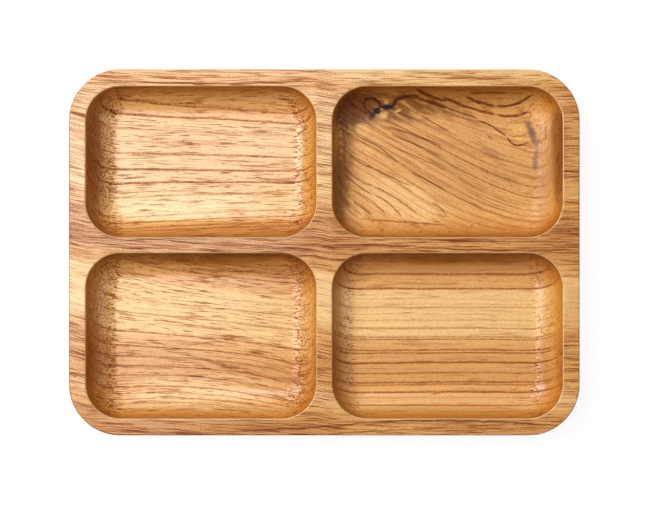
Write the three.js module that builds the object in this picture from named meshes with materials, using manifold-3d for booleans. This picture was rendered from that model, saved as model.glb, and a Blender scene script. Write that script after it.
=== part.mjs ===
// Divided wooden serving tray: a panel edge-glued from staves, with four pockets carved into its top.
// Millimetres, +Z up. The origin is at the middle of the base. X runs along the grain and Y across it,
// from the front edge at -Y to the back edge at +Y.
import * as THREE from "three";
import { mergeVertices } from "three/addons/utils/BufferGeometryUtils.js";
import Module from "manifold-3d";

// Panel
const trayLength = 300; // along the grain
const trayWidth = 215; // across the grain
const trayThickness = 24;
const trayCornerRadius = 30; // in plan
const rimEdgeRound = 1.2; // round-over of the outer top edge
const baseEdgeRound = 2; // round-over of the outer bottom edge

// Pockets: two rows of two. The back row has a set width, and the front row takes the rest.
const rimWidth = 10; // wood between a pocket's mouth and the outside
const dividerWidth = 9.3; // wood between two pockets
const backPocketWidth = 88.6;
const pocketCornerRadius = 20.5; // in plan, at the mouth
const floorThickness = 7; // wood left under a pocket
const floorFillet = 15; // hollow radius between a pocket's wall and its floor
const wallDraft = THREE.MathUtils.degToRad(4); // a wall's lean out from the vertical
const mouthRound = 0.8; // round-over of a pocket's mouth

// Edge joints: plain long-grain butt joints, each filled by a film of cured glue.
const staveNames = [
  "front_edge_stave",
  "front_pocket_stave",
  "middle_stave",
  "back_pocket_stave",
  "back_edge_stave",
];
const glueThickness = 0.15;

// Fineness of the curves
const cornerSteps = 5; // half the number of chords round a corner in plan
const filletSteps = 7; // chords from a pocket's floor to its wall
const roundSteps = 3; // chords across a round-over
const cutOvershoot = 1; // how far a cutter runs past the wood that it cuts

const pocketLength = (trayLength - 2 * rimWidth - dividerWidth) / 2;
const frontPocketWidth = trayWidth - 2 * rimWidth - dividerWidth - backPocketWidth;
const staveWidth = (trayWidth - (staveNames.length - 1) * glueThickness) / staveNames.length;

const wood = new THREE.MeshStandardMaterial({ color: 0xe2b67e, roughness: 0.45, metalness: 0 });
const glue = new THREE.MeshStandardMaterial({ color: 0xb98a55, roughness: 0.5, metalness: 0 });

const wasm = await Module();
wasm.setup();

// A ring of points round a rectangle with rounded corners, counter-clockwise, at height z.
function roundedRing(length, width, radius, z) {
  const x = length / 2 - radius;
  const y = width / 2 - radius;
  const quarter = Math.PI / 2;
  const outline = new THREE.Path();
  outline.absarc(x, y, radius, 0, quarter);
  outline.absarc(-x, y, radius, quarter, 2 * quarter);
  outline.absarc(-x, -y, radius, 2 * quarter, 3 * quarter);
  outline.absarc(x, -y, radius, 3 * quarter, 4 * quarter);
  return outline.getPoints(cornerSteps).map((point) => new THREE.Vector3(point.x, point.y, z));
}

// The closed skin over a stack of rings with equal point counts, lowest ring first.
function skinOver(rings) {
  const count = rings[0].length;
  const lastRing = (rings.length - 1) * count;
  const faces = [];
  for (let start = 0; start < lastRing; start += count) {
    for (let i = 0; i < count; i++) {
      const here = start + i;
      const next = start + ((i + 1) % count);
      faces.push(here, next, next + count, here, next + count, here + count);
    }
  }
  for (const [a, b, c] of THREE.ShapeUtils.triangulateShape(rings[0], [])) {
    faces.push(a, c, b);
  }
  for (const [a, b, c] of THREE.ShapeUtils.triangulateShape(rings.at(-1), [])) {
    faces.push(lastRing + a, lastRing + b, lastRing + c);
  }
  return new THREE.BufferGeometry().setFromPoints(rings.flat()).setIndex(faces);
}

// A geometry as a solid that can be cut.
function solidFrom(geometry) {
  const bare = geometry.clone();
  bare.deleteAttribute("normal");
  bare.deleteAttribute("uv");
  const merged = mergeVertices(bare);
  const vertProperties = new Float32Array(merged.attributes.position.array);
  const triVerts = new Uint32Array(merged.index.array);
  return new wasm.Manifold(new wasm.Mesh({ numProp: 3, vertProperties, triVerts }));
}

// A cut solid as a geometry that can be drawn.
function geometryFrom(solid) {
  const { vertProperties, triVerts } = solid.getMesh();
  const geometry = new THREE.BufferGeometry();
  geometry.setAttribute("position", new THREE.BufferAttribute(vertProperties, 3));
  geometry.setIndex(new THREE.BufferAttribute(triVerts, 1));
  geometry.computeVertexNormals();
  return geometry;
}

// The uncut panel, with its corners rounded in plan and its edges eased.
function panelSolid() {
  const ring = (inset, z) =>
    roundedRing(trayLength - 2 * inset, trayWidth - 2 * inset, trayCornerRadius - inset, z);
  const rings = [];
  for (let step = 0; step <= roundSteps; step++) {
    const turn = (step / roundSteps) * (Math.PI / 2);
    rings.push(ring(baseEdgeRound * (1 - Math.sin(turn)), baseEdgeRound * (1 - Math.cos(turn))));
  }
  for (let step = 0; step <= roundSteps; step++) {
    const turn = (step / roundSteps) * (Math.PI / 2);
    const z = trayThickness - rimEdgeRound * (1 - Math.sin(turn));
    rings.push(ring(rimEdgeRound * (1 - Math.cos(turn)), z));
  }
  return solidFrom(skinOver(rings));
}

// A pocket's section from its floor to above its mouth, as insets from the mouth's outline and heights.
function pocketSection() {
  const section = [];
  const filletHeight = floorThickness + floorFillet;
  const lean = (trayThickness - filletHeight) * Math.sin(wallDraft);
  const filletInset = (floorFillet + lean) / Math.cos(wallDraft);
  for (let step = 0; step <= filletSteps; step++) {
    const turn = (step / filletSteps) * (Math.PI / 2 - wallDraft);
    section.push([filletInset - floorFillet * Math.sin(turn), filletHeight - floorFillet * Math.cos(turn)]);
  }
  const roundInset = (-mouthRound * (1 - Math.sin(wallDraft))) / Math.cos(wallDraft);
  for (let step = 0; step <= roundSteps; step++) {
    const turn = THREE.MathUtils.lerp(wallDraft, Math.PI / 2, step / roundSteps);
    const z = trayThickness - mouthRound * (1 - Math.sin(turn));
    section.push([roundInset + mouthRound * Math.cos(turn), z]);
  }
  section.push([roundInset, trayThickness + cutOvershoot]);
  return section;
}

// The cutter of one pocket, centred on x and y.
function pocketCutter(width, x, y) {
  const rings = pocketSection().map(([inset, z]) =>
    roundedRing(pocketLength - 2 * inset, width - 2 * inset, pocketCornerRadius - inset, z),
  );
  return solidFrom(skinOver(rings).translate(x, y, 0));
}

// The panel with all its pockets carved, before it is taken apart at its glue lines.
function carvedSolid() {
  const columns = [-1, 1].map((side) => (side * (pocketLength + dividerWidth)) / 2);
  const edge = trayWidth / 2 - rimWidth;
  const rows = [
    { width: frontPocketWidth, y: -edge + frontPocketWidth / 2 },
    { width: backPocketWidth, y: edge - backPocketWidth / 2 },
  ];
  let carved = panelSolid();
  for (const x of columns) {
    for (const { width, y } of rows) {
      carved = carved.subtract(pocketCutter(width, x, y));
    }
  }
  return carved;
}

// The part of the carved panel between two planes across the grain.
function slice(carved, from, to) {
  const slab = new THREE.BoxGeometry(
    trayLength + 2 * cutOvershoot,
    to - from,
    trayThickness + 2 * cutOvershoot,
  );
  slab.translate(0, (from + to) / 2, trayThickness / 2);
  return geometryFrom(carved.intersect(solidFrom(slab)));
}

function piece(name, geometry, material) {
  const mesh = new THREE.Mesh(geometry, material);
  mesh.name = name;
  return mesh;
}

const tray = new THREE.Group();
const carved = carvedSolid();
staveNames.forEach((name, i) => {
  const from = -trayWidth / 2 + i * (staveWidth + glueThickness);
  const to = from + staveWidth;
  tray.add(piece(name, slice(carved, from, to), wood));
  if (i + 1 < staveNames.length) {
    tray.add(piece(`glue_line_${i + 1}`, slice(carved, to, to + glueThickness), glue));
  }
});

export default tray;
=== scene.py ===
"""A divided serving tray in oiled teak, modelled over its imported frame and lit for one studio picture."""

import logging
import math
from collections.abc import Callable
from dataclasses import dataclass, field
from enum import Enum
from functools import partial

import bpy
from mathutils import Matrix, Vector


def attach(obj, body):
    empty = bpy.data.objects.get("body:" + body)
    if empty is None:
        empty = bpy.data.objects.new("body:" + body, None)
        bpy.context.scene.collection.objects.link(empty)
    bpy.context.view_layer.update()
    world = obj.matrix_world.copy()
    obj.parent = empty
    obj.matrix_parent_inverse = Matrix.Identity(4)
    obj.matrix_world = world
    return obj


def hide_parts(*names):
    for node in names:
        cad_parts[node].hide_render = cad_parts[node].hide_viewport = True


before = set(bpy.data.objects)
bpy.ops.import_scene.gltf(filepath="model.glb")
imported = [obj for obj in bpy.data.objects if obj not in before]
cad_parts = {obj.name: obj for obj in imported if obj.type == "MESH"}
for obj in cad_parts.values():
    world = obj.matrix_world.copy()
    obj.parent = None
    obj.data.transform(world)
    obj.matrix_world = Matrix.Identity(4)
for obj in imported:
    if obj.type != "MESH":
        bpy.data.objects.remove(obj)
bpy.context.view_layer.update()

logging.basicConfig(level=logging.INFO, format="%(message)s")
log = logging.getLogger("serving_tray")

Node = bpy.types.Node
Piece = bpy.types.Object
Socket = bpy.types.NodeSocket
Tree = bpy.types.NodeTree
Adder = Callable[..., Node]
Pair = tuple[float, float]
Triple = tuple[float, float, float]
Quad = tuple[float, float, float, float]

MM = 0.001
BODY = "root"
WHITE = (1.0, 1.0, 1.0, 1.0)

# How closely the corners of an edge or a face have to lie at one height, in metres
LEVEL = 0.01 * MM

# Kinds of node that come up often, with the operation of those that have a choice, and settings
ABSOLUTE = "ShaderNodeMath ABSOLUTE"
ADD = "ShaderNodeMath ADD"
DIVIDE = "ShaderNodeMath DIVIDE"
MAXIMUM = "ShaderNodeMath MAXIMUM"
MULTIPLY = "ShaderNodeMath MULTIPLY"
MULTIPLY_ADD = "ShaderNodeMath MULTIPLY_ADD"
SUBTRACT = "ShaderNodeMath SUBTRACT"
DOT_PRODUCT = "ShaderNodeVectorMath DOT_PRODUCT"
VECTOR_ADD = "ShaderNodeVectorMath ADD"
VECTOR_MULTIPLY = "ShaderNodeVectorMath MULTIPLY"
VECTOR_SCALE = "ShaderNodeVectorMath SCALE"
VECTOR_SUBTRACT = "ShaderNodeVectorMath SUBTRACT"
RANGE = "ShaderNodeMapRange"
RAMP = "ShaderNodeValToRGB"
NOISE = "ShaderNodeTexNoise"
MIX = "ShaderNodeMix"
SPLIT = "ShaderNodeSeparateXYZ"
JOIN = "ShaderNodeCombineXYZ"
EASED = {"interpolation_type": "SMOOTHSTEP"}
COLOURS = {"data_type": "RGBA"}
STAIN = {"data_type": "RGBA", "blend_type": "MULTIPLY"}
PORE_SHARE = "pore_share"
WHOLE = (0.0, 1.0)  # the span of a share


def to_linear(code: str) -> Quad:
    """Turn an sRGB hex colour into a linear one.

    Args:
        code: The colour as six hex digits after a hash sign.

    Returns:
        Red, green, blue and a full alpha, all from 0 to 1.
    """
    channels = (int(code[i : i + 2], 16) / 255 for i in (1, 3, 5))
    linear = (c / 12.92 if c <= 0.04045 else ((c + 0.055) / 1.055) ** 2.4 for c in channels)
    return (*linear, 1.0)


def add_node(tree: Tree, kind: str, inputs: dict | tuple = (), **settings: object) -> Node:
    """Add one node with its settings and links.

    Args:
        tree: The tree that gets the node.
        kind: The node's type name, followed by its operation if it has a choice of them.
        inputs: A value, a socket or a node (for its first output) for each input, in order or by name.
        settings: The node's own properties.

    Returns:
        The new node.
    """
    type_name, _, operation = kind.partition(" ")
    node = tree.nodes.new(type_name)
    if operation:
        node.operation = operation
    for name, value in settings.items():
        setattr(node, name, value)
    for key, value in inputs.items() if isinstance(inputs, dict) else enumerate(inputs):
        if isinstance(value, Node):
            value = value.outputs[0]
        if isinstance(value, Socket):
            tree.links.new(value, node.inputs[key])
        else:
            node.inputs[key].default_value = value
    return node


def new_block(name: str, low: Triple, high: Triple) -> Piece:
    """Add a cube between two corners, with its place in its mesh.

    Args:
        name: The new object's name.
        low: The lowest corner in millimetres.
        high: The highest corner in millimetres.

    Returns:
        The new object, active and alone in the selection.
    """
    bpy.ops.object.select_all(action="DESELECT")
    a, b = Vector(low) * MM, Vector(high) * MM
    bpy.ops.mesh.primitive_cube_add(size=1, location=(a + b) / 2, scale=b - a)
    block = bpy.context.object
    block.name = block.data.name = name
    bpy.ops.object.transform_apply(location=True, rotation=True, scale=True)
    return block


def is_upright(heights: list[float]) -> bool:
    """Tell whether the ends of an edge lie at different heights."""
    return max(heights) - min(heights) > LEVEL


def lies_at(level: float) -> Callable[[list[float]], bool]:
    """Make a test of whether heights in metres all lie at a level in millimetres."""
    return lambda heights: all(abs(height - level * MM) < LEVEL for height in heights)


def pick(piece: Piece, wanted: Callable[[list[float]], bool], faces: bool = False) -> None:
    """Open a piece in edit mode with only some of its edges or faces selected.

    Args:
        piece: The active object.
        wanted: A test of the heights of an edge's ends or of a face's corners, in metres.
        faces: Whether to pick faces, and not edges.
    """
    bpy.ops.object.mode_set(mode="EDIT")
    bpy.ops.mesh.select_mode(type="FACE" if faces else "EDGE")
    bpy.ops.mesh.select_all(action="DESELECT")
    bpy.ops.object.mode_set(mode="OBJECT")
    mesh = piece.data
    for element in mesh.polygons if faces else mesh.edges:
        element.select = wanted([mesh.vertices[i].co.z for i in element.vertices])
    bpy.ops.object.mode_set(mode="EDIT")


@dataclass(frozen=True)
class PocketSection:
    """The section of a pocket's wall, all in millimetres.

    The wall leans out from the vertical, meets the floor in a wide hollow and rounds over at the mouth.
    """

    rim_height: float = 24.0
    floor_height: float = 7.0
    hollow: float = 15.0
    draft: float = math.radians(4)
    mouth_round: float = 0.8
    hollow_steps: int = 20
    round_steps: int = 5

    def points(self) -> list[Pair]:
        """Follow the section down from the mouth to the floor.

        Returns:
            Pairs of an inset from the mouth's outline and a height.
        """
        start = math.pi / 2
        outset = self.mouth_round * (1 - math.sin(self.draft)) / math.cos(self.draft)
        section = []
        for step in range(self.round_steps + 1):
            turn = start + (self.draft - start) * step / self.round_steps
            height = self.rim_height - self.mouth_round * (1 - math.sin(turn))
            section.append((self.mouth_round * math.cos(turn) - outset, height))
        top = self.floor_height + self.hollow
        lean = (self.rim_height - top) * math.sin(self.draft)
        inset = (self.hollow + lean) / math.cos(self.draft)
        for step in range(self.hollow_steps + 1):
            turn = (start - self.draft) * (1 - step / self.hollow_steps)
            section.append((inset - self.hollow * math.sin(turn), top - self.hollow * math.cos(turn)))
        return section


@dataclass
class CarvedPanel:
    """The whole panel before it is taken apart at its glue lines, in millimetres."""

    length: float = 300.0
    width: float = 215.0
    corner_radius: float = 30.0
    rim_edge_round: float = 1.2
    base_edge_round: float = 2.0
    rim_width: float = 10.0
    divider_width: float = 9.3
    back_pocket_width: float = 88.6
    pocket_corner_radius: float = 20.5
    section: PocketSection = field(default_factory=PocketSection)
    corner_segments: int = 16
    round_segments: int = 5
    overshoot: float = 1.0

    def build(self) -> Piece:
        """Model the panel and carve its four pockets.

        Returns:
            The carved panel.
        """
        panel = self._blank()
        pocket_length = (self.length - 2 * self.rim_width - self.divider_width) / 2
        edge = self.width / 2 - self.rim_width
        middle = edge - self.back_pocket_width
        rows = ((middle, edge), (-edge, middle - self.divider_width))
        for left in (-self.length / 2 + self.rim_width, self.divider_width / 2):
            for front, back in rows:
                cutter = self._cutter((left, front), (left + pocket_length, back))
                self._carve(panel, cutter)
        return panel

    def _blank(self) -> Piece:
        """Shape the uncarved panel, with its corners rounded and its edges eased.

        Returns:
            The panel.
        """
        x, y, top = self.length / 2, self.width / 2, self.section.rim_height
        panel = new_block("panel", (-x, -y, 0), (x, y, top))
        pick(panel, is_upright)
        bpy.ops.mesh.bevel(offset=self.corner_radius * MM, segments=self.corner_segments)
        bpy.ops.object.mode_set(mode="OBJECT")
        for height, reach in ((top, self.rim_edge_round), (0, self.base_edge_round)):
            pick(panel, lies_at(height))
            bpy.ops.mesh.bevel(offset=reach * MM, segments=self.round_segments)
            bpy.ops.object.mode_set(mode="OBJECT")
        return panel

    def _cutter(self, low: Pair, high: Pair) -> Piece:
        """Model the solid that a pocket takes out of the panel.

        Args:
            low: The mouth's front left corner.
            high: The mouth's back right corner.

        Returns:
            The cutter.
        """
        (inset, height), *steps = self.section.points()
        bottom = (low[0] + inset, low[1] + inset, height)
        top = (high[0] - inset, high[1] - inset, height + self.overshoot)
        cutter = new_block("cutter", bottom, top)
        pick(cutter, is_upright)
        bpy.ops.mesh.bevel(offset=(self.pocket_corner_radius - inset) * MM, segments=self.corner_segments)
        bpy.ops.object.mode_set(mode="OBJECT")
        pick(cutter, lies_at(height), faces=True)
        for next_inset, next_height in steps:
            bpy.ops.mesh.inset(thickness=(next_inset - inset) * MM, depth=(height - next_height) * MM)
            inset, height = next_inset, next_height
        bpy.ops.object.mode_set(mode="OBJECT")
        return cutter

    def _carve(self, panel: Piece, cutter: Piece) -> None:
        """Take a cutter out of the panel, and delete the cutter.

        Args:
            panel: The panel.
            cutter: The solid to take out of it.
        """
        cut = panel.modifiers.new("carve", "BOOLEAN")
        cut.operation = "DIFFERENCE"
        cut.solver = "EXACT"
        cut.object = cutter
        bpy.context.view_layer.objects.active = panel
        bpy.ops.object.modifier_apply(modifier=cut.name)
        bpy.data.objects.remove(cutter)


@dataclass
class GluedStaves:
    """The staves of the panel and the glue between them, in millimetres."""

    panel: CarvedPanel
    glue_thickness: float = 0.15
    smooth_angle: float = math.radians(35)
    names: tuple[str, ...] = (
        "front_edge_stave",
        "front_pocket_stave",
        "middle_stave",
        "back_pocket_stave",
        "back_edge_stave",
    )

    def build(self, wood: bpy.types.Material, glue: bpy.types.Material) -> list[Piece]:
        """Saw the carved panel into staves and glue lines and dress them.

        Args:
            wood: The finish of the staves.
            glue: The finish of the glue.

        Returns:
            The pieces, from the front edge to the back edge.
        """
        whole = self.panel.build()
        gaps = len(self.names) - 1
        stave_width = (self.panel.width - gaps * self.glue_thickness) / len(self.names)
        front = -self.panel.width / 2
        pieces = []
        for i, name in enumerate(self.names):
            back = front + stave_width
            pieces.append(self._piece(whole, name, front, back, wood))
            if i < gaps:
                front = back + self.glue_thickness
                pieces.append(self._piece(whole, f"glue_line_{i + 1}", back, front, glue))
        bpy.data.objects.remove(whole)
        return pieces

    def _piece(
        self,
        whole: Piece,
        node: str,
        front: float,
        back: float,
        finish: bpy.types.Material,
    ) -> Piece:
        """Saw one piece out of a copy of the carved panel.

        Args:
            whole: The carved panel.
            node: The node of the frame that the piece stands for.
            front: Where the piece starts, across the grain.
            back: Where it ends.
            finish: Its material.

        Returns:
            The finished piece.
        """
        piece = whole.copy()
        piece.data = whole.data.copy()
        piece.name = piece.data.name = f"{node}_shaped"
        bpy.context.scene.collection.objects.link(piece)
        bpy.ops.object.select_all(action="DESELECT")
        piece.select_set(True)
        bpy.context.view_layer.objects.active = piece
        bpy.ops.object.mode_set(mode="EDIT")
        for at, side in ((front, -1), (back, 1)):
            bpy.ops.mesh.select_all(action="SELECT")
            if abs(at) < self.panel.width / 2 - self.glue_thickness:
                plane = {"plane_co": (0, at * MM, 0), "plane_no": (0, side, 0)}
                bpy.ops.mesh.bisect(**plane, use_fill=True, clear_outer=True)
        bpy.ops.mesh.select_all(action="SELECT")
        bpy.ops.mesh.normals_make_consistent(inside=False)
        bpy.ops.object.mode_set(mode="OBJECT")
        bpy.ops.object.shade_smooth_by_angle(angle=self.smooth_angle)
        level = piece.modifiers.new("flat_faces_stay_flat", "WEIGHTED_NORMAL")
        level.keep_sharp = True
        bpy.ops.object.modifier_apply(modifier=level.name)
        piece.data.materials.clear()
        piece.data.materials.append(finish)
        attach(piece, BODY)
        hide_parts(node)
        return piece


class Tone(Enum):
    """The colours of oiled teak, the tints that its lines, pores and cut faces lay over them, and the tint
    and browns that paint shade on the pockets' walls.
    """

    IVORY = "#F3CC96"
    CREAM = "#EEC080"
    PALE = "#E8B87F"
    GOLDEN = "#DFA562"
    HONEY = "#D69B5A"
    TAN = "#D19555"
    BROWN = "#C88A4E"
    LATE_TINT = "#B88A46"
    FIBRE_TINT = "#B88A50"
    PORE_TINT = "#B98C4C"
    BARK_TINT = "#936638"
    # Painted shade: a darker, more saturated tint for every steep wall
    WALL_TINT = "#F0D890"
    END_GRAIN_TINT = "#ECD9BA"
    BURR = "#D19049"
    KNOT = "#7E4F25"
    BARK = "#40200A"
    # Dark wood, and painted shade where it lies on walls in shade
    SHADED = "#703C1B"
    # Painted shade: a saturated brown laid on walls that are in shade
    SCORCHED = "#A5630C"
    CRACK = "#1E1A1C"
    MINERAL = "#66463E"
    SAPWOOD = "#E9B566"
    RESIN = "#D67E28"
    RUST = "#A4492A"


@dataclass(frozen=True)
class GrowthBand:
    """A band of growth rings.

    Attributes:
        at: Its place across the grain on the rim, in millimetres.
        tone: Its colour.
        pores: How crowded its pores are, from 0 to 1.
    """

    at: float
    tone: Tone
    pores: float


@dataclass(frozen=True)
class GrowthLine:
    """One dark line of late wood.

    Attributes:
        at: Its place across the grain on the pocket's floor, at the middle of the pocket, in millimetres.
        strength: How dark it is, from 0 to 1.
        spread: How far it shades off towards the back, in millimetres.
        edge: How far it shades off towards the front.
    """

    at: float
    strength: float
    spread: float = 1.3
    edge: float = 0.45


@dataclass(frozen=True)
class Figure:
    """How the growth lines run over one pocket, seen from above.

    Attributes:
        centre: The middle of the pocket's floor, along and across the grain, in millimetres.
        half: Half the pocket's size, along and across the grain, in millimetres.
        sweep: Shares of u, uu, uv, uuu, uuv and uvv in a line's run, where u and v are the places along
            and across the grain from the middle, in spans.
        pores: How crowded the pores are on its floor, from 0 to 1.
        banded: Whether the growth bands follow the lines.
        lines: The lines on its floor.
        span: The unit of u and v, in millimetres.
    """

    centre: Pair
    half: Pair
    sweep: tuple[float, float, float, float, float, float]
    pores: float
    banded: bool
    lines: tuple[GrowthLine, ...]
    span: float = 50.0


@dataclass(frozen=True)
class Mark:
    """A local stain, knot or streak: an ellipsoid in which the wood changes colour.

    Attributes:
        centre: Its middle in millimetres.
        radii: Its three half sizes in millimetres.
        angle: Its turn about the vertical, in degrees.
        tone: Its colour.
        strength: How much of the wood's colour it takes over, from 0 to 1.
        core: The share of its radius in which it is at full strength.
        ragged: How far the grain breaks up its outline, as a share of its radius.
    """

    centre: Triple
    radii: Triple
    angle: float
    tone: Tone
    strength: float
    core: float = 0.5
    ragged: float = 0.5


@dataclass(frozen=True)
class Stroke:
    """A dark line that leaves the run of the growth lines, on the top side of the tray.

    Attributes:
        start: Its left end, along and across the grain, in millimetres.
        end: Its right end.
        rise: How far its middle stands behind the straight line between its ends, in millimetres.
        strength: How dark it is, from 0 to 1.
        width: Its width in millimetres.
    """

    start: Pair
    end: Pair
    rise: float = 0.0
    strength: float = 0.9
    width: float = 1.3


BANDS = (
    GrowthBand(-120, Tone.BROWN, 0.8),
    GrowthBand(-98, Tone.TAN, 0.8),
    GrowthBand(-94, Tone.GOLDEN, 0.6),
    GrowthBand(-86, Tone.PALE, 0.7),
    GrowthBand(-76, Tone.GOLDEN, 0.85),
    GrowthBand(-68, Tone.HONEY, 0.9),
    GrowthBand(-58, Tone.HONEY, 0.8),
    GrowthBand(-47, Tone.GOLDEN, 0.7),
    GrowthBand(-40, Tone.CREAM, 0.3),
    GrowthBand(-15, Tone.CREAM, 0.3),
    GrowthBand(-11.5, Tone.GOLDEN, 0.7),
    GrowthBand(-6, Tone.HONEY, 0.85),
    GrowthBand(0, Tone.BROWN, 1.0),
    GrowthBand(13, Tone.BROWN, 1.0),
    GrowthBand(21, Tone.TAN, 0.9),
    GrowthBand(27, Tone.GOLDEN, 0.7),
    GrowthBand(33, Tone.CREAM, 0.55),
    GrowthBand(42, Tone.CREAM, 0.8),
    GrowthBand(50, Tone.PALE, 1.0),
    GrowthBand(88, Tone.PALE, 1.0),
    GrowthBand(94, Tone.GOLDEN, 0.9),
    GrowthBand(100, Tone.GOLDEN, 0.8),
    GrowthBand(105, Tone.PALE, 0.6),
    GrowthBand(108, Tone.CREAM, 0.2),
)
BACK_LEFT = Figure(
    centre=(-72.3, 53.2),
    half=(67.7, 44.3),
    sweep=(0.01, 0.01, 0.086, 0.0, -0.012, 0.0),
    pores=0.7,
    banded=True,
    lines=(
        GrowthLine(97.5, 0.3),
        GrowthLine(94.5, 0.5),
        GrowthLine(86.9, 0.6),
        GrowthLine(80.8, 0.9),
        GrowthLine(72.8, 0.4),
        GrowthLine(65.5, 0.35),
        GrowthLine(58.9, 0.6),
        GrowthLine(49.8, 0.95),
        GrowthLine(42.6, 1.0, 1.0),
        GrowthLine(35.0, 0.4),
        GrowthLine(24.0, 0.4),
        GrowthLine(20.0, 0.6),
        GrowthLine(15.5, 0.7),
        GrowthLine(12.5, 0.7),
    ),
)
FRONT_LEFT = Figure(
    centre=(-72.3, -49.0),
    half=(67.7, 48.6),
    sweep=(0.099, 0.019, 0.016, 0.0, -0.07, 0.0),
    pores=0.7,
    banded=True,
    lines=(
        GrowthLine(-2.4, 0.3),
        GrowthLine(-7.5, 0.4),
        GrowthLine(-9.8, 0.4),
        GrowthLine(-14.0, 0.5),
        GrowthLine(-27.4, 0.35, 0.9),
        GrowthLine(-33.6, 0.4, 0.9),
        GrowthLine(-41.1, 0.45, 0.9),
        GrowthLine(-52.1, 0.75, 0.9),
        GrowthLine(-59.9, 0.8, 0.9),
        GrowthLine(-65.7, 0.65, 0.9),
        GrowthLine(-71.2, 0.7, 0.9),
        GrowthLine(-76.5, 0.6, 0.9),
        GrowthLine(-83.1, 0.65, 0.9),
        GrowthLine(-87.0, 0.5, 0.9),
        GrowthLine(-90.6, 0.6, 0.9),
        GrowthLine(-93.8, 0.6, 0.9),
    ),
)
FRONT_RIGHT = Figure(
    centre=(72.3, -49.0),
    half=(67.7, 48.6),
    sweep=(0.0, 0.0, 0.0, 0.0, 0.0, 0.0),
    pores=0.1,
    banded=True,
    lines=(
        GrowthLine(-7.2, 0.3),
        GrowthLine(-13.1, 0.85, 1.1),
        GrowthLine(-21.7, 0.95, 1.2),
        GrowthLine(-33.2, 0.5, 0.8),
        GrowthLine(-41.1, 0.35, 0.8),
        GrowthLine(-46.0, 0.6, 1.0),
        GrowthLine(-51.2, 0.7, 0.8),
        GrowthLine(-52.8, 0.8, 0.8),
        GrowthLine(-59.4, 0.85, 0.8),
        GrowthLine(-61.3, 0.9, 0.8),
        GrowthLine(-67.3, 1.0, 1.3),
        GrowthLine(-73.3, 0.6, 1.0),
        GrowthLine(-78.8, 0.85, 1.0),
        GrowthLine(-80.2, 0.6, 0.8),
        GrowthLine(-84.9, 1.0, 1.2),
        GrowthLine(-88.5, 0.4, 1.0),
        GrowthLine(-94.0, 0.8, 1.2),
    ),
)
BACK_RIGHT = Figure(
    centre=(72.3, 53.2),
    half=(67.7, 44.3),
    sweep=(0.562, -0.105, -0.108, -0.058, -0.088, -0.288),
    pores=0.35,
    banded=False,
    lines=(
        GrowthLine(82.5, 0.4, 1.1),
        GrowthLine(72.0, 0.4, 1.1),
        GrowthLine(67.0, 0.4, 1.1),
        GrowthLine(62.1, 0.6, 1.4),
        GrowthLine(55.6, 0.55, 1.2),
        GrowthLine(51.0, 0.4, 1.0),
        GrowthLine(47.0, 0.4, 1.0),
        GrowthLine(42.5, 0.45, 1.0),
        GrowthLine(38.3, 0.65, 1.2),
        GrowthLine(31.0, 0.45, 1.0),
        GrowthLine(25.4, 0.55, 1.1),
        GrowthLine(20.0, 0.35, 1.0),
        GrowthLine(14.9, 0.3, 1.0),
        GrowthLine(5.5, 0.25, 1.0),
    ),
)
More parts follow.
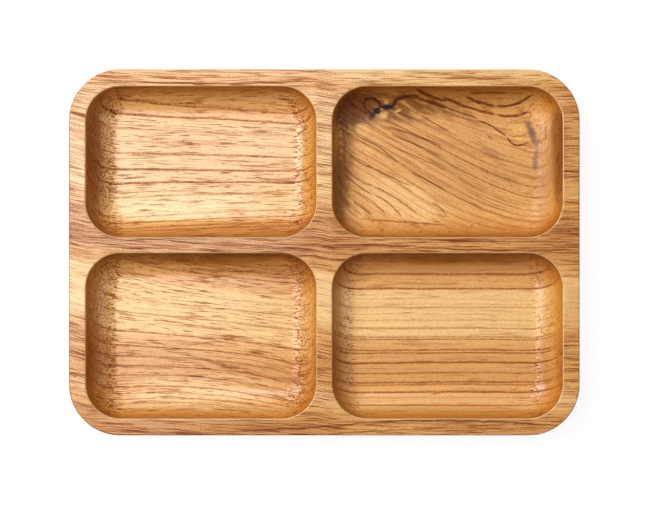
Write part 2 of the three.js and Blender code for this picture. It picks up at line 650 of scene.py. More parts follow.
STAINS = (
    Mark((72, 53, 5), (84, 56, 16), 0, Tone.BURR, 0.7, core=0.75),
    Mark((146, 58, 24), (16, 46, 9), 0, Tone.BURR, 0.7),
    # Dark wood about the knot, with painted shade on the back and left walls of the back right pocket and
    # in their corner
    Mark((18, 87, 10), (22, 18, 14), 0, Tone.SHADED, 0.85, core=0.45, ragged=0.3),
    Mark((42, 88, 10), (36, 13, 12), -6, Tone.SHADED, 0.8, core=0.35, ragged=0.6),
    Mark((13, 66, 10), (7, 24, 12), 6, Tone.SHADED, 0.4, core=0.3, ragged=0.5),
    Mark((9, 38, 12), (10, 30, 10), 0, Tone.SHADED, 0.65, core=0.4, ragged=0.4),
    Mark((70, 87, 8), (40, 6, 9), -13, Tone.SHADED, 0.5, core=0.1, ragged=0.8),
    Mark((56, 69, 7), (20, 3.0, 8), -26, Tone.MINERAL, 0.35, core=0.1, ragged=0.6),
    Mark((78, 60, 7), (50, 12, 6), -24, Tone.TAN, 0.5, core=0.3, ragged=0.4),
    Mark((48, 32, 7), (38, 16, 6), -20, Tone.CREAM, 0.8, core=0.3, ragged=0.4),
    Mark((23.5, 74.5, 7), (6.5, 5, 6), -15, Tone.SAPWOOD, 0.8, core=0.4, ragged=0.3),
    Mark((26, 62, 7), (5, 6, 6), 60, Tone.SAPWOOD, 0.7, core=0.2, ragged=0.4),
    Mark((117, 75, 7), (7, 6.5, 6), -10, Tone.SAPWOOD, 0.55, core=0.4, ragged=0.4),
    Mark((118, 68.2, 7), (5, 2.4, 6), 0, Tone.SAPWOOD, 0.6, core=0.3, ragged=0.3),
    Mark((139, 58, 17), (6, 40, 10), 0, Tone.SHADED, 0.6, ragged=0.3),
    Mark((131, 48, 10), (6, 36, 8), 0, Tone.SHADED, 0.2, core=0.4, ragged=0.4),
    Mark((98, 62, 7), (17, 4, 7), -24, Tone.SHADED, 0.28, core=0.1, ragged=0.7),
    Mark((108, 46, 7), (18, 4, 7), -20, Tone.SHADED, 0.22, core=0.1, ragged=0.7),
    Mark((76, 52, 7), (18, 3.5, 7), -26, Tone.SHADED, 0.2, core=0.1, ragged=0.7),
    # Painted shade on the back wall of the back right pocket
    Mark((72, 93, 12), (66, 8, 11), 0, Tone.SCORCHED, 0.3),
    Mark((113, 15, 13), (16, 2.6, 7), 0, Tone.RESIN, 0.7, core=0.2),
    Mark((-9, 50, 14), (9, 40, 10), 0, Tone.SAPWOOD, 0.8, ragged=0.3),
    # Painted sheen: the lit right walls of the front pockets made paler
    Mark((138, -52, 16), (7, 42, 10), 0, Tone.IVORY, 0.5, ragged=0.3),
    Mark((-7, -52, 16), (7, 42, 10), 0, Tone.IVORY, 0.4, ragged=0.3),
    Mark((72, -95, 14), (66, 6, 10), 0, Tone.TAN, 0.5, ragged=0.3),
    Mark((-80, 28, 8), (58, 11, 9), 0, Tone.IVORY, 0.9, core=0.4),
    Mark((-72, -85, 9), (62, 14, 9), 0, Tone.IVORY, 0.5),
    # Painted shade on the back walls of the front pockets
    Mark((-72, -3, 14), (68, 6, 11), 0, Tone.SCORCHED, 0.8),
    Mark((72, -3, 14), (68, 6, 11), 0, Tone.SCORCHED, 0.85),
    # Painted shade on the left wall of the back left pocket
    Mark((-137, 53, 15), (8, 42, 9), 0, Tone.SCORCHED, 0.65),
    Mark((-146, 62, 24), (9, 40, 5), 0, Tone.HONEY, 0.8),
    Mark((-146, -62, 24), (9, 26, 5), 0, Tone.GOLDEN, 0.35),
    Mark((-75, -103, 24), (75, 7, 4), 0, Tone.BROWN, 0.8, core=0.6),
    Mark((146, -50, 24), (9, 45, 5), 0, Tone.HONEY, 0.6),
    Mark((80, 5, 24), (80, 9, 4), 0, Tone.GOLDEN, 0.35, core=0.6),
    Mark((0, 6, 24), (8, 18, 4), 0, Tone.GOLDEN, 0.35),
    Mark((0, -28, 24), (8, 22, 4), 0, Tone.IVORY, 0.3),
    Mark((-145, -28, 24), (8, 14, 4), 0, Tone.IVORY, 0.5),
    Mark((75, 103, 24), (78, 7, 4), 0, Tone.CREAM, 0.65, core=0.6),
    Mark((75, -103, 24), (78, 7, 4), 0, Tone.GOLDEN, 0.5, core=0.6),
    # Painted highlight: a paler line on the rounded back edge of the left half
    Mark((-80, 107.4, 24), (75, 2.4, 6), 0, Tone.CREAM, 0.7, core=0.3, ragged=0.4),
)
STROKES = (
    Stroke((23.2, 89.4), (29, 93.0), 1.2, 1.0, 1.5),
    Stroke((28, 93.2), (34, 88.4), 1.3, 1.0, 1.9),
    Stroke((23.3, 89.6), (29.6, 83.8), -0.7, 1.0, 1.5),
    Stroke((30.6, 84.2), (33.9, 89.2), -0.7, 1.0, 1.6),
    Stroke((41.5, 91), (58, 93), 1.8, 1.0, 2.6),
    Stroke((56, 93.4), (75, 87.6), -0.3, 1.0, 2.4),
    Stroke((54, 97), (75, 91.4), -0.5, 1.0, 1.8),
    Stroke((70, 94), (105, 83.4), -0.9, 1.0, 2.0),
    Stroke((104, 83.6), (124, 85.5), -1.9, 1.0, 2.0),
    Stroke((84, 94), (104, 88.4), -0.5, 1.0, 1.8),
    Stroke((103, 88.6), (125, 95), -2.6, 1.0, 2.0),
    Stroke((86, 95.3), (110, 95), 0.3, 0.7),
    Stroke((70, 89), (94, 80.8), 0.3),
    Stroke((93, 81), (110.8, 70.2), 0.6, 1.0),
    Stroke((110.4, 70.6), (124, 67), -3.9, 1.0, 1.6),
    Stroke((111.5, 81), (123, 79.8), -0.8, 0.5),
    Stroke((113.5, 70.2), (123, 72.4), -1.0, 0.5),
    Stroke((58, 84), (76, 73.6), -0.6, 0.8),
    Stroke((37, 76.4), (73, 63.6), 1.0, 0.7, 1.8),
    Stroke((40, 72), (71, 58), 0.4, 0.8),
    Stroke((42, 64), (75, 49), 0.4, 0.6),
    Stroke((20.5, 70.2), (45, 54), 1.6, 0.8),
    Stroke((18, 75.5), (21, 69.8), -0.4, 0.35),
    Stroke((22.5, 63.5), (26.5, 56.5), -0.3, 0.3),
    Stroke((9, 82), (12, 55), 1.4, 0.4),
    Stroke((15, 59.5), (30, 51), -1.2, 0.8),
    Stroke((30, 51), (52, 40.5), 0.0, 0.7),
    Stroke((11, 54), (30, 40), -2.2, 0.8),
    Stroke((30, 40), (57, 23), 1.2, 0.8),
    Stroke((12, 48), (30, 35), -1.3, 0.8),
    Stroke((30, 35), (47, 21.5), 1.6, 0.8),
    Stroke((16, 38.5), (38, 22), 1.7, 0.6),
    Stroke((7, 50), (17, 31), -1.0, 0.5),
    Stroke((17, 31), (29, 22.5), 0.0, 0.8),
    Stroke((8.5, 39), (20, 21.5), -2.6, 0.5),
    Stroke((52, 49), (75, 37), 0.0, 0.7),
    Stroke((65, 30.5), (74, 21.5), 1.5, 0.6),
    Stroke((20, 20.5), (75, 16.5), 0.0, 0.7),
    Stroke((-50, -104.6), (26, -99.7), -0.6, 0.8),
    Stroke((24, -99.9), (141, -102), 2.2, 0.9),
    Stroke((0, -107), (52, -103.6), 0.4, 0.7, 1.1),
    Stroke((50, -103.7), (116, -104), 1.0, 0.6, 1.0),
    Stroke((-2, 4.0), (52, 3.2), 0.5, 0.7),
    Stroke((50, 3.2), (150, 1.4), -0.9, 0.8, 1.1),
    Stroke((58, 7.4), (150, 6.2), -0.5, 0.7, 1.0),
    Stroke((-34, 2.3), (16, -1.0), 0.2, 0.55),
    Stroke((-92, 6.2), (-8, 2.0), 0.4, 0.5),
    Stroke((-150, 7.4), (-94, 2.0), -0.5, 0.5),
    Stroke((-141, 99.6), (-56, 98.7), 0.3, 0.45),
)
KNOTS = (
    Mark((28.4, 88.8, 10), (4.6, 4.0, 14), 20, Tone.KNOT, 0.7, core=0.3, ragged=0.8),
    Mark((37.4, 90.6, 9), (2.4, 2.0, 8), -10, Tone.SAPWOOD, 0.7, core=0.2, ragged=0.4),
    Mark((35.8, 83, 7), (4.0, 3.2, 6), 30, Tone.SAPWOOD, 0.8, core=0.3, ragged=0.4),
    Mark((44.5, 85.8, 7), (3.2, 1.2, 6), 20, Tone.SAPWOOD, 0.8, core=0.3, ragged=0.4),
    Mark((31, 84.9, 8), (7.4, 2.6, 9), 46, Tone.CRACK, 0.95, ragged=0.4),
    Mark((38.6, 88, 8), (5.6, 2.1, 9), 4, Tone.CRACK, 0.95, ragged=0.4),
    Mark((42.2, 90, 9), (3.6, 1.6, 9), 62, Tone.CRACK, 0.8, core=0.4, ragged=0.4),
    Mark((133, 46, 11), (7, 36, 8), 0, Tone.BROWN, 0.55, ragged=0.3),
    Mark((125.8, 72.5, 9), (3.2, 13, 9), 20, Tone.MINERAL, 0.8, core=0.2, ragged=0.4),
    Mark((128, 57, 9), (2.2, 12, 9), -4, Tone.MINERAL, 0.6, core=0.2, ragged=0.4),
    Mark((133.5, 73, 15), (1.1, 13, 8), 0, Tone.BARK, 0.7, core=0.3, ragged=0.4),
    Mark((58, -13, 8), (13, 0.9, 5), 0, Tone.RUST, 0.75, core=0.3),
    Mark((134.4, 102.5, 24), (3.2, 0.8, 3), -8, Tone.RUST, 0.6, core=0.3, ragged=0.4),
    Mark((-12, 75.5, 12), (1.8, 2.6, 6), 0, Tone.BARK, 0.6, core=0.2, ragged=0.3),
    Mark((135, -71.5, 16), (0.9, 0.9, 5), 0, Tone.BARK, 0.8, core=0.3, ragged=0.2),
)


@dataclass(frozen=True)
class Cell:
    """The grid of a noise that is drawn out along the grain.

    Attributes:
        length: A cell's length along the grain, in millimetres.
        width: Its width across the grain.
        detail: How many finer layers the noise has.
    """

    length: float
    width: float
    detail: float = 1.0


@dataclass
class Grain:
    """Where a point lies in the wood, as nodes or sockets that give millimetres.

    Attributes:
        place: The point.
        x: Its place along the grain.
        y: Its place across the grain.
        depth: Its depth below the rim.
        band: Its place in the growth bands.
        along: The point with its ring in place of y, for patterns that follow the lines.
        ring: Its place in the growth lines.
        rim: How far it lies on the rim, from 0 to 1.
        masks: How far it lies in each pocket, from 0 to 1.
    """

    place: Node
    x: Socket
    y: Socket
    depth: Node
    band: Node
    along: Node
    ring: Node
    rim: Node
    masks: list[Node]


@dataclass(frozen=True)
class OiledTeak:
    """Teak, carved, sanded and oiled.

    The eye sees pale and brown growth bands, dark lines of late wood, fine pores as dashes along the grain
    and as dots on end grain, and a satin film of oil. Painted shade darkens the steep walls and the shaded
    walls, and a paler line painted on the round-over of each mouth stands in for its highlight. Sizes are
    in millimetres. A pair says where a change starts and where it is complete, unless a comment says more.
    """

    name: str = "oiled_teak"
    bands: tuple[GrowthBand, ...] = BANDS
    figures: tuple[Figure, ...] = (BACK_LEFT, FRONT_LEFT, FRONT_RIGHT, BACK_RIGHT)
    stains: tuple[Mark, ...] = STAINS
    strokes: tuple[Stroke, ...] = STROKES
    knots: tuple[Mark, ...] = KNOTS

    # Regions of the tray, by depth below the rim and by place
    rim_height: float = 24.0
    floor_depth: float = 17.0
    rim_foot: Pair = (0.5, 2.5)
    pocket_top: Pair = (0.5, 5.0)
    pocket_bottom: Pair = (18.0, 24.0)
    pocket_edge: Pair = (-6.0, 5.0)  # from half the pocket's size
    stroke_bottom: Pair = (18.0, 20.0)
    mouth_foot: Pair = (0.5, 0.9)
    mouth_reach: Pair = (143.0, 101.0)  # along and across the grain from the middle
    mouth_blur: float = 1.0

    # Run of the growth rings
    ring_tilt: float = 0.53
    drift: float = 7.5
    drift_span: Pair = (-150.0, 10.0)
    slant: float = 1.8
    slant_spans: tuple[Pair, ...] = ((-150.0, -139.0), (-5.0, 5.0))
    sway: float = 3.0
    sway_cell: Cell = Cell(110, 40)
    tremor: float = 0.9
    tremor_cell: Cell = Cell(12, 4, 2)
    band_reach: float = 120.0
    line_reach: float = 60.0
    lines_per_ramp: int = 10

    # Finer patterns, of which the pores are about twice as coarse as real ones so that they show
    outline_gain: float = 6.0
    outline_cell: Cell = Cell(9, 3, 2)
    streak_cell: Cell = Cell(60, 0.75, 2)
    grit_cell: Cell = Cell(1, 0.6)
    thread_cells: tuple[Cell, Cell] = (Cell(80, 3.2), Cell(90, 1.5))
    thread_gaps: tuple[Cell, Cell] = (Cell(16, 3.2, 2), Cell(18, 1.5, 2))
    line_break_cell: Cell = Cell(2.5, 0.8, 2)
    stroke_sway: float = 1.6
    stroke_sway_cell: Cell = Cell(9, 6)
    stroke_break_cell: Cell = Cell(3, 0.8, 2)
    wisp_cell: Cell = Cell(11, 0.55, 2)
    hair_cell: Cell = Cell(20, 0.45, 2)
    crowd_cell: Cell = Cell(35, 5)

    # Parts of a noise that are drawn, and how one share follows from another: its span, then its values
    noise_middle: float = 0.5
    noise_span: Pair = (0.3, 0.7)
    thread_edge: Pair = (0.01, 0.045)
    gap_edge: Pair = (0.4, 0.6)
    stroke_edge: Pair = (0.2, 1.0)
    lines_by_noise: Quad = (0.36, 0.6, 0.9, 1.9)
    strokes_by_noise: Quad = (0.36, 0.55, 0.75, 1.0)
    streaks_by_crowding: Quad = (0.3, 0.8, -0.45, 0.7)
    threads_by_crowding: Quad = (0.2, 1.0, 0.5, 1.0)
    rim_threads_by_crowding: Quad = (0.3, 0.9, 0.1, 1.0)

    # Limit that the noise of the pores passes, and what lowers it
    pore_limit: Pair = (0.85, 0.7)  # where pores are rare and where they crowd
    pore_edge: float = 0.04
    evenness: Pair = (0.2, 0.6)  # in the pockets and on the rim
    rim_pores: float = 0.15
    grazed_pores: float = 0.5
    crowd_lowers: float = 0.28
    graze_lowers: float = 0.04

    # Parts of a surface's normal along the grain and upwards
    end_lean: Pair = (0.1, 0.9)
    grazed_lean: Pair = (0.03, 0.2)
    crossed_lean: Pair = (0.4, 0.8)
    wall_flatness: Pair = (0.25, 0.9)
    mouth_flatness: Pair = (0.85, 0.97)

    # Strengths, from 0 to 1
    streak_strength: float = 0.1
    grit_strength: float = 0.13
    pore_strength: float = 1.0
    wall_line_strength: float = 0.45
    # The next is how pale the painted highlight on the mouths' round-over is
    mouth_highlight_strength: float = 0.6
    burr_end_grain: float = 0.25
    burr_dullness: float = 0.75

    # Film of oil
    dent_depth: float = 0.15
    dent_strength: float = 0.3
    roughness: Pair = (0.5, 0.65)  # where the oil stands and where it has sunk in
    coat: Pair = (0.65, 0.05)  # in the same places
    coat_roughness: float = 0.17
    specular: float = 0.25

    def material(self) -> bpy.types.Material:
        """Make the finish.

        Returns:
            The new material.
        """
        finish = bpy.data.materials.new(self.name)
        finish.use_nodes = True
        finish.node_tree.nodes.clear()
        add = partial(add_node, finish.node_tree)
        grain = self._grain(add)
        colour, crowding = self._tone(add, grain)
        rough = self._drawn_noise(add, grain.along, self.outline_cell)
        rough = add(MULTIPLY_ADD, (rough, self.outline_gain, -self.outline_gain / 2))
        colour = self._marked(add, grain, rough, self.stains, colour)
        colour = self._streaked(add, grain, colour, crowding)
        threads = self._threads(add, grain, crowding)
        lines = self._lines(add, grain)
        strokes = self._strokes(add, grain)
        end, steep, grazed = self._cut(add)
        # The last pocket is cut into burred wood, which drinks the oil and has few open ends
        burr = grain.masks[-1]
        closed = add(RANGE, (burr, *WHOLE, 1.0, self.burr_end_grain))
        grazed = add(MULTIPLY, (grazed, closed))
        faded = add(RANGE, (steep, *WHOLE, 1.0, self.wall_line_strength))
        lines = add(MULTIPLY, (lines, faded))
        pores = self._pores(add, grain, crowding, grazed)
        filled = add(MULTIPLY, (pores, self.pore_strength), name=PORE_SHARE)
        dull = pores
        for share in (lines, strokes, threads):
            dull = add(MAXIMUM, (dull, share))
        dull = add(MULTIPLY_ADD, (burr, self.burr_dullness, dull), use_clamp=True)
        tints = (
            (threads, Tone.FIBRE_TINT),
            (lines, Tone.LATE_TINT),
            (strokes, Tone.BARK_TINT),
            (filled, Tone.PORE_TINT),
            (end, Tone.END_GRAIN_TINT),
            # Painted shade: steep walls get a darker, more saturated tint, as if less light reached them
            (steep, Tone.WALL_TINT),
        )
        for share, tone in tints:
            layers = {0: share, 6: colour, 7: to_linear(tone.value)}
            colour = add(MIX, layers, **STAIN).outputs[2]
        # Painted highlight: a paler line on the round-over of every mouth, standing in for the lamps' glint
        layers = {0: self._painted_mouth_highlight(add, grain), 6: colour, 7: to_linear(Tone.IVORY.value)}
        colour = add(MIX, layers, **COLOURS).outputs[2]
        colour = self._marked(add, grain, rough, self.knots, colour)
        self._film(add, colour, pores, dull)
        return finish

    def _grain(self, add: Adder) -> Grain:
        """Work out where a point lies in the growth rings.

        Args:
            add: What adds a node to the tree.

        Returns:
            The point in the wood.
        """
        place = add("ShaderNodeTexCoord").outputs["Object"]
        place = add(VECTOR_SCALE, {0: place, "Scale": 1 / MM})
        x, y, z = add(SPLIT, (place,)).outputs
        depth = add(SUBTRACT, (self.rim_height, z))
        sway = self._drawn_noise(add, place, self.sway_cell)
        tremor = self._drawn_noise(add, place, self.tremor_cell)
        middle = -(self.sway + self.tremor) / 2
        waves = add(MULTIPLY_ADD, (sway, self.sway, middle))
        waves = add(MULTIPLY_ADD, (tremor, self.tremor, waves))
        rim = add(RANGE, (depth, *self.rim_foot, 1.0, 0.0))
        drift = add(RANGE, (x, *self.drift_span, 1.0, 0.0))
        drift = add(MULTIPLY, (drift, drift))
        drift = add(MULTIPLY, (drift, self.drift))
        for span in self.slant_spans:
            slant = add(RANGE, (x, *span, self.slant, 0.0))
            drift = add(MULTIPLY_ADD, (slant, rim, drift))
        ring = add(MULTIPLY_ADD, (depth, self.ring_tilt, y))
        ring = band = add(SUBTRACT, (ring, drift))
        sunk = add(RANGE, (depth, *self.pocket_top), **EASED)
        covered = add(RANGE, (depth, *self.pocket_bottom, 1.0, 0.0), **EASED)
        sunk = add(MULTIPLY, (sunk, covered))
        masks = []
        for figure in self.figures:
            mask = sunk
            spans = []
            for axis, centre, half in zip((x, y), figure.centre, figure.half):
                off = add(SUBTRACT, (axis, centre))
                size = add(ABSOLUTE, (off,))
                inner, outer = (half + step for step in self.pocket_edge)
                inside = add(RANGE, (size, inner, outer, 1.0, 0.0), **EASED)
                mask = add(MULTIPLY, (mask, inside))
                spans.append(add(DIVIDE, (off, figure.span)))
            level = self._level(add, figure, *spans)
            level = add(MULTIPLY_ADD, (depth, self.ring_tilt, level))
            ring = add(MIX, {0: mask, 2: ring, 3: level})
            if figure.banded:
                band = ring
            masks.append(mask)
        ring = add(ADD, (ring, waves))
        band = add(ADD, (band, waves))
        along = add(JOIN, (x, ring, z))
        return Grain(place, x, y, depth, band, along, ring, rim, masks)

    def _level(self, add: Adder, figure: Figure, u: Node, v: Node) -> Node:
        """Work out which growth line a point of a pocket's floor lies on.

        Args:
            add: What adds a node to the tree.
            figure: The run of the pocket's lines.
            u: The point's place along the grain from the middle of the pocket, in spans.
            v: Its place across the grain.

        Returns:
            The line's place across the grain at the middle of the pocket, in millimetres.
        """
        share_u, share_uu, share_uv, share_uuu, share_uuv, share_uvv = figure.sweep
        run = add(MULTIPLY_ADD, (u, share_uuu, share_uu))
        run = add(MULTIPLY_ADD, (v, share_uuv, run))
        run = add(MULTIPLY_ADD, (u, run, share_u))
        lift = add(MULTIPLY_ADD, (v, share_uvv, share_uv))
        run = add(MULTIPLY_ADD, (v, lift, run))
        level = add(MULTIPLY_ADD, (u, run, v))
        return add(MULTIPLY_ADD, (level, figure.span, figure.centre[1]))

    def _drawn_noise(self, add: Adder, place: Node, cell: Cell) -> Node:
        """Add noise whose cells are drawn out along the grain.

        Args:
            add: What adds a node to the tree.
            place: The point.
            cell: The size of the cells.

        Returns:
            The noise, from 0 to 1.
        """
        scale = (1 / cell.length, 1 / cell.width, 1 / cell.width)
        drawn = add(VECTOR_MULTIPLY, (place, scale))
        return add(NOISE, {"Vector": drawn, "Scale": 1.0, "Detail": cell.detail})

    def _tone(self, add: Adder, grain: Grain) -> tuple[Socket, Socket]:
        """Colour the growth bands.

        Args:
            add: What adds a node to the tree.
            grain: The point in the wood.

        Returns:
            The colour, and how crowded the pores are.
        """
        at = add(RANGE, (grain.band, -self.band_reach, self.band_reach))
        ramp = add(RAMP, (at,))
        stops = []
        for band in self.bands:
            red, green, blue, _ = to_linear(band.tone.value)
            stops.append((0.5 + band.at / (2 * self.band_reach), (red, green, blue, band.pores)))
        self._set_stops(ramp, stops)
        crowding = ramp.outputs[1]
        for figure, mask in zip(self.figures, grain.masks):
            crowding = add(MIX, {0: mask, 2: crowding, 3: figure.pores}).outputs[0]
        return ramp.outputs[0], crowding

    def _set_stops(self, ramp: Node, stops: list[tuple[float, Quad]]) -> None:
        """Set a ramp's stops.

        Args:
            ramp: The ramp's node.
            stops: Places from 0 to 1 in rising order, each with its colour.
        """
        elements = ramp.color_ramp.elements
        elements.remove(elements[-1])
        for i, (position, colour) in enumerate(stops):
            element = elements[0] if i == 0 else elements.new(position)
            element.position = position
            element.color = colour

    def _streaked(self, add: Adder, grain: Grain, colour: Socket, crowding: Socket) -> Socket:
        """Vary the colour in long streaks and in fine grit, most of all on the crowded bands of the rim.

        Args:
            add: What adds a node to the tree.
            grain: The point in the wood.
            colour: The wood's colour.
            crowding: How crowded the pores are, from 0 to 1.

        Returns:
            The streaked colour.
        """
        reach = add(RANGE, (crowding, *self.streaks_by_crowding))
        reach = add(MULTIPLY_ADD, (reach, grain.rim, 1.0))
        shares = []
        patterns = ((self.streak_cell, self.streak_strength), (self.grit_cell, self.grit_strength))
        for cell, strength in patterns:
            share = self._drawn_noise(add, grain.along, cell)
            share = add(RANGE, (share, *self.noise_span, -strength, strength))
            shares.append(add(MULTIPLY_ADD, (share, reach, 1.0)))
        total = add(MULTIPLY, tuple(shares))
        return add(VECTOR_SCALE, {0: colour, "Scale": total}).outputs[0]

    def _threads(self, add: Adder, grain: Grain, crowding: Socket) -> Node:
        """Draw broken hair lines along the grain, closer together on the rim.

        Args:
            add: What adds a node to the tree.
            grain: The point in the wood.
            crowding: How crowded the pores and the hair lines are, from 0 to 1.

        Returns:
            How far a point lies on a hair line, from 0 to 1.
        """
        most = add(RANGE, (crowding, *self.threads_by_crowding))
        close = add(RANGE, (crowding, *self.rim_threads_by_crowding))
        close = add(MULTIPLY, (close, grain.rim))
        total = 0.0
        for cell, gap, reach in zip(self.thread_cells, self.thread_gaps, (most, close)):
            thread = self._drawn_noise(add, grain.along, cell)
            thread = add(SUBTRACT, (thread, self.noise_middle))
            thread = add(ABSOLUTE, (thread,))
            thread = add(RANGE, (thread, *self.thread_edge, 1.0, 0.0))
            gaps = self._drawn_noise(add, grain.along, gap)
            gaps = add(RANGE, (gaps, *self.gap_edge))
            share = add(MULTIPLY, (thread, gaps))
            total = add(MULTIPLY_ADD, (share, reach, total), use_clamp=True)
        return total

    def _lines(self, add: Adder, grain: Grain) -> Node:
        """Draw the dark lines of late wood, each in its own pocket.

        Args:
            add: What adds a node to the tree.
            grain: The point in the wood.

        Returns:
            How far a point lies on a line, from 0 to 1.
        """
        total = 0.0
        for figure, mask in zip(self.figures, grain.masks):
            middle = figure.centre[1] + self.ring_tilt * self.floor_depth
            at = add(RANGE, (grain.ring, middle - self.line_reach, middle + self.line_reach))
            lines = sorted(figure.lines, key=lambda item: item.at)
            for first in range(0, len(lines), self.lines_per_ramp):
                ramp = add(RAMP, (at,))
                stops = [(0.0, (0.0, 0.0, 0.0, 1.0))]
                for line in lines[first : first + self.lines_per_ramp]:
                    offset = line.at - figure.centre[1]
                    for step, value in ((-line.edge, 0.0), (0.0, line.strength), (line.spread, 0.0)):
                        position = 0.5 + (offset + step) / (2 * self.line_reach)
                        stops.append((position, (value, value, value, 1.0)))
                self._set_stops(ramp, stops)
                total = add(MULTIPLY_ADD, (ramp, mask, total))
        broken = self._drawn_noise(add, grain.along, self.line_break_cell)
        broken = add(RANGE, (broken, *self.lines_by_noise))
        return add(MULTIPLY, (total, broken), use_clamp=True)

    def _strokes(self, add: Adder, grain: Grain) -> Node:
        """Draw the dark lines that go their own way, each as a shallow bow that tapers at its ends.

        Args:
            add: What adds a node to the tree.
            grain: The point in the wood.

        Returns:
            How far a point lies on such a line, from 0 to 1.
        """
        tremor = self._drawn_noise(add, grain.place, self.stroke_sway_cell)
        tremor = add(MULTIPLY_ADD, (tremor, self.stroke_sway, -self.stroke_sway / 2))
        sway = add(JOIN, (0.0, tremor, 0.0))
        shaken = add(VECTOR_ADD, (grain.place, sway))
        total = 0.0
        for stroke in self.strokes:
            start, end = Vector(stroke.start), Vector(stroke.end)
            along = (end - start).normalized()
            behind = along.orthogonal()
            apex = (start + end) / 2 + behind * stroke.rise
            half = stroke.width / 2
            off = add(VECTOR_SUBTRACT, (shaken, (*apex, 0.0)))
            along = (*along * 2 / (end - start).length, 0.0)
            x = add(DOT_PRODUCT, (off, along)).outputs["Value"]
            behind = (*behind / half, 0.0)
            y = add(DOT_PRODUCT, (off, behind)).outputs["Value"]
            bow = add(MULTIPLY, (x, x))
            y = add(MULTIPLY_ADD, (bow, stroke.rise / half, y))
            off = add(MULTIPLY, (y, y))
            fade = add(MULTIPLY, (bow, bow))
            off = add(MULTIPLY_ADD, (fade, fade, off))
            share = add(RANGE, (off, *self.stroke_edge, stroke.strength, 0.0))
            total = add(MAXIMUM, (share, total))
        broken = self._drawn_noise(add, grain.along, self.stroke_break_cell)
        broken = add(RANGE, (broken, *self.strokes_by_noise))
        total = add(MULTIPLY, (total, broken))
        top_side = add(RANGE, (grain.depth, *self.stroke_bottom, 1.0, 0.0))
        return add(MULTIPLY, (total, top_side))

    def _marked(
        self, add: Adder, grain: Grain, rough: Node, marks: tuple[Mark, ...], colour: Socket
    ) -> Socket:
        """Lay stains, knots or cracks over the colour.

        Args:
            add: What adds a node to the tree.
            grain: The point in the wood.
            rough: How the grain breaks up an outline, about 0.
            marks: The marks, the lowest first.
            colour: The wood's colour.

        Returns:
            The marked colour.
        """
        levels = {}
        for ragged in sorted({mark.ragged for mark in marks}):
            levels[ragged] = add(MULTIPLY_ADD, (rough, ragged, 1.0))
        for mark in marks:
            turn = (0.0, 0.0, math.radians(mark.angle))
            space = (grain.place, mark.centre, turn, mark.radii)
            local = add("ShaderNodeMapping", space, vector_type="TEXTURE")
            near = add("ShaderNodeTexGradient", (local,), gradient_type="SPHERICAL").outputs[1]
            near = add(MULTIPLY, (near, levels[mark.ragged]))
            share = add(RANGE, (near, 0.0, 1 - mark.core, 0.0, mark.strength), **EASED)
            layers = {0: share, 6: colour, 7: to_linear(mark.tone.value)}
            colour = add(MIX, layers, **COLOURS).outputs[2]
        return colour

    def _cut(self, add: Adder) -> tuple[Node, Node, Node]:
        """Tell how a surface was cut.

        Args:
            add: What adds a node to the tree.

        Returns:
            How far it is cut across the grain, how far it is a steep wall and how far its cut only grazes
            the end grain, all from 0 to 1.
        """
        normal = add("ShaderNodeNewGeometry").outputs["Normal"]
        facing = add(SPLIT, (normal,))
        lean = add(ABSOLUTE, (facing.outputs[0],))
        end = add(RANGE, (lean, *self.end_lean), **EASED)
        grazed = add(RANGE, (lean, *self.grazed_lean))
        crossed = add(RANGE, (lean, *self.crossed_lean))
        grazed = add(SUBTRACT, (grazed, crossed))
        flat = add(ABSOLUTE, (facing.outputs[2],))
        steep = add(RANGE, (flat, *self.wall_flatness, 1.0, 0.0), **EASED)
        return end, steep, grazed

    def _painted_mouth_highlight(self, add: Adder, grain: Grain) -> Node:
        """Find the round-over of a pocket's mouth, on which a paler line is painted in place of its
        highlight.

        Args:
            add: What adds a node to the tree.
            grain: The point in the wood.

        Returns:
            How pale the point is, from 0 to 1.
        """
        normal = add("ShaderNodeNewGeometry").outputs["Normal"]
        flat = add(SPLIT, (normal,)).outputs[2]
        share = add(RANGE, (grain.depth, *self.mouth_foot, self.mouth_highlight_strength, 0.0))
        tilted = add(RANGE, (flat, *self.mouth_flatness, 1.0, 0.0))
        share = add(MULTIPLY, (share, tilted))
        for axis, edge in zip((grain.x, grain.y), self.mouth_reach):
            off = add(ABSOLUTE, (axis,))
            inside = add(RANGE, (off, edge, edge + self.mouth_blur, 1.0, 0.0))
            share = add(MULTIPLY, (share, inside))
        return share

    def _pores(self, add: Adder, grain: Grain, crowding: Socket, grazed: Node) -> Node:
        """Draw the pores, as the crests of a noise that pass a limit.

        Args:
            add: What adds a node to the tree.
            grain: The point in the wood.
            crowding: How crowded the pores are, from 0 to 1.
            grazed: How far the surface only grazes the end grain, where the pores open up.

        Returns:
            How far a point lies in a pore, from 0 to 1.
        """
        wisp = self._drawn_noise(add, grain.along, self.wisp_cell)
        hair = self._drawn_noise(add, grain.along, self.hair_cell)
        wisp = add(MIX, {0: grain.rim, 2: wisp, 3: hair})
        crowd = self._drawn_noise(add, grain.along, self.crowd_cell)
        evened = add(RANGE, (grain.rim, *WHOLE, *self.evenness))
        crowd = add(MIX, {0: evened, 2: crowd, 3: self.noise_middle})
        crowding = add(MULTIPLY_ADD, (grain.rim, self.rim_pores, crowding))
        crowding = add(MULTIPLY_ADD, (grazed, self.grazed_pores, crowding), use_clamp=True)
        limit = add(RANGE, (crowding, *WHOLE, *self.pore_limit))
        limit = add(MULTIPLY_ADD, (crowd, -self.crowd_lowers, limit))
        limit = add(MULTIPLY_ADD, (grazed, -self.graze_lowers, limit))
        pores = add(SUBTRACT, (wisp, limit))
        return add(RANGE, (pores, 0.0, self.pore_edge), **EASED)

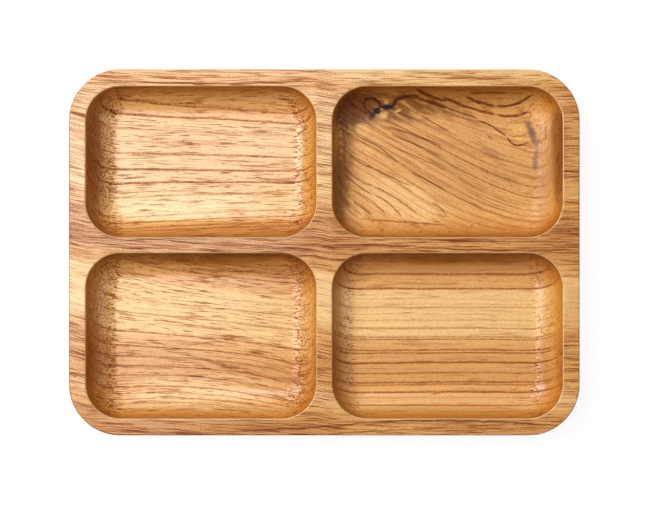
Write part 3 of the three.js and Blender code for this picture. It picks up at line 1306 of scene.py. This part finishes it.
    def _film(self, add: Adder, colour: Socket, pores: Node, dull: Node) -> None:
        """Finish the surface with its dents and its satin film of oil, which sinks into the open grain.

        Args:
            add: What adds a node to the tree.
            colour: The wood's colour.
            pores: How far a point lies in a pore, from 0 to 1.
            dull: How far the oil has sunk in, from 0 to 1.
        """
        dent = {"Height": pores, "Distance": self.dent_depth * MM, "Strength": self.dent_strength}
        bump = add("ShaderNodeBump", dent, invert=True)
        film = {
            "Base Color": colour,
            "Roughness": add(RANGE, (dull, *WHOLE, *self.roughness)),
            "Specular IOR Level": self.specular,
            "Normal": bump,
            "Coat Weight": add(RANGE, (dull, *WHOLE, *self.coat)),
            "Coat Roughness": self.coat_roughness,
        }
        shader = add("ShaderNodeBsdfPrincipled", film)
        add("ShaderNodeOutputMaterial", (shader,))


@dataclass(frozen=True)
class CuredGlue:
    """Wood glue, cured, sanded flush and oiled.

    A film this thin is clear, so the eye sees the colour of the wood under it, with its pores filled.
    """

    name: str = "cured_wood_glue"
    pore_strength: float = 0.3

    def material(self, wood: bpy.types.Material) -> bpy.types.Material:
        """Make the finish from that of the wood on both sides.

        Args:
            wood: The finish of the staves.

        Returns:
            The new material.
        """
        finish = wood.copy()
        finish.name = self.name
        finish.node_tree.nodes[PORE_SHARE].inputs[1].default_value = self.pore_strength
        return finish


@dataclass(frozen=True)
class Lamp:
    """A flat lamp that faces the tray.

    Attributes:
        name: Its name.
        place: Its middle in metres.
        size: Its width and height in metres.
        power: Its power in watts.
    """

    name: str
    place: Triple
    size: Pair
    power: float


@dataclass
class Studio:
    """The floor, the lamps and the camera, in metres."""

    rim_height: float = 0.024
    camera_height: float = 0.483
    camera_offset: Pair = (0.0004, -0.00035)
    frame_width: float = 0.381
    sensor_width: float = 36.0  # in millimetres
    floor_size: float = 6.0
    floor_grey: float = 0.8
    floor_glow: float = 1.1
    floor_glow_share: float = 0.8
    world_strength: float = 0.01
    lamps: tuple[Lamp, ...] = (
        Lamp("key_softbox", (-0.62, 0.38, 1.3), (1.3, 1.5), 28),
        Lamp("key_core", (-0.88, 0.3, 1.3), (0.09, 0.9), 5),
        Lamp("fill_panel", (1.3, -0.1, 0.95), (1.0, 1.4), 2.2),
        Lamp("fill_strip", (1.2, -0.11, 0.75), (0.16, 1.2), 1.0),
    )

    def build(self) -> None:
        """Set up everything that isn't part of the tray."""
        self._floor()
        for lamp in self.lamps:
            self._lamp(lamp)
        world = bpy.data.worlds.new("studio")
        bpy.context.scene.world = world
        world.use_nodes = True
        sky = world.node_tree.nodes["Background"]
        sky.inputs["Color"].default_value = WHITE
        sky.inputs["Strength"].default_value = self.world_strength
        camera = bpy.data.cameras.new("camera")
        camera.sensor_width = self.sensor_width
        camera.lens = camera.sensor_width * self.camera_height / self.frame_width
        holder = bpy.data.objects.new("camera", camera)
        holder.location = (*self.camera_offset, self.rim_height + self.camera_height)
        bpy.context.scene.collection.objects.link(holder)
        bpy.context.scene.camera = holder
        bpy.context.scene.view_settings.view_transform = "Standard"

    def _floor(self) -> None:
        """Lay a white floor that shows white to the camera and still takes a shadow."""
        bpy.ops.object.select_all(action="DESELECT")
        bpy.ops.mesh.primitive_plane_add(size=self.floor_size, location=(0, 0, 0))
        floor = bpy.context.object
        floor.name = "floor"
        paper = bpy.data.materials.new("white_paper")
        paper.use_nodes = True
        paper.node_tree.nodes.clear()
        add = partial(add_node, paper.node_tree)
        grey = (self.floor_grey, self.floor_grey, self.floor_grey, 1.0)
        diffuse = add("ShaderNodeBsdfDiffuse", {"Color": grey})
        path = add("ShaderNodeLightPath")
        seen = path.outputs["Is Camera Ray"]
        for ray in ("Is Glossy Ray", "Is Transmission Ray"):
            seen = add(MAXIMUM, (seen, path.outputs[ray]))
        seen = add(MULTIPLY, (seen, self.floor_glow_share))
        glow = add("ShaderNodeEmission", {"Color": WHITE, "Strength": self.floor_glow})
        both = add("ShaderNodeMixShader", (seen, diffuse, glow))
        add("ShaderNodeOutputMaterial", (both,))
        floor.data.materials.append(paper)

    def _lamp(self, lamp: Lamp) -> None:
        """Hang a lamp and turn it to the tray.

        Args:
            lamp: The lamp.
        """
        panel = bpy.data.lights.new(lamp.name, "AREA")
        panel.shape = "RECTANGLE"
        panel.size, panel.size_y = lamp.size
        panel.energy = lamp.power
        holder = bpy.data.objects.new(lamp.name, panel)
        holder.location = lamp.place
        holder.rotation_euler = (-Vector(lamp.place)).to_track_quat("-Z", "Y").to_euler()
        bpy.context.scene.collection.objects.link(holder)


def main() -> None:
    wood = OiledTeak().material()
    pieces = GluedStaves(CarvedPanel()).build(wood, CuredGlue().material(wood))
    for piece in pieces:
        log.info("%s: %d faces", piece.name, len(piece.data.polygons))
    Studio().build()


if __name__ == "__main__":
    main()
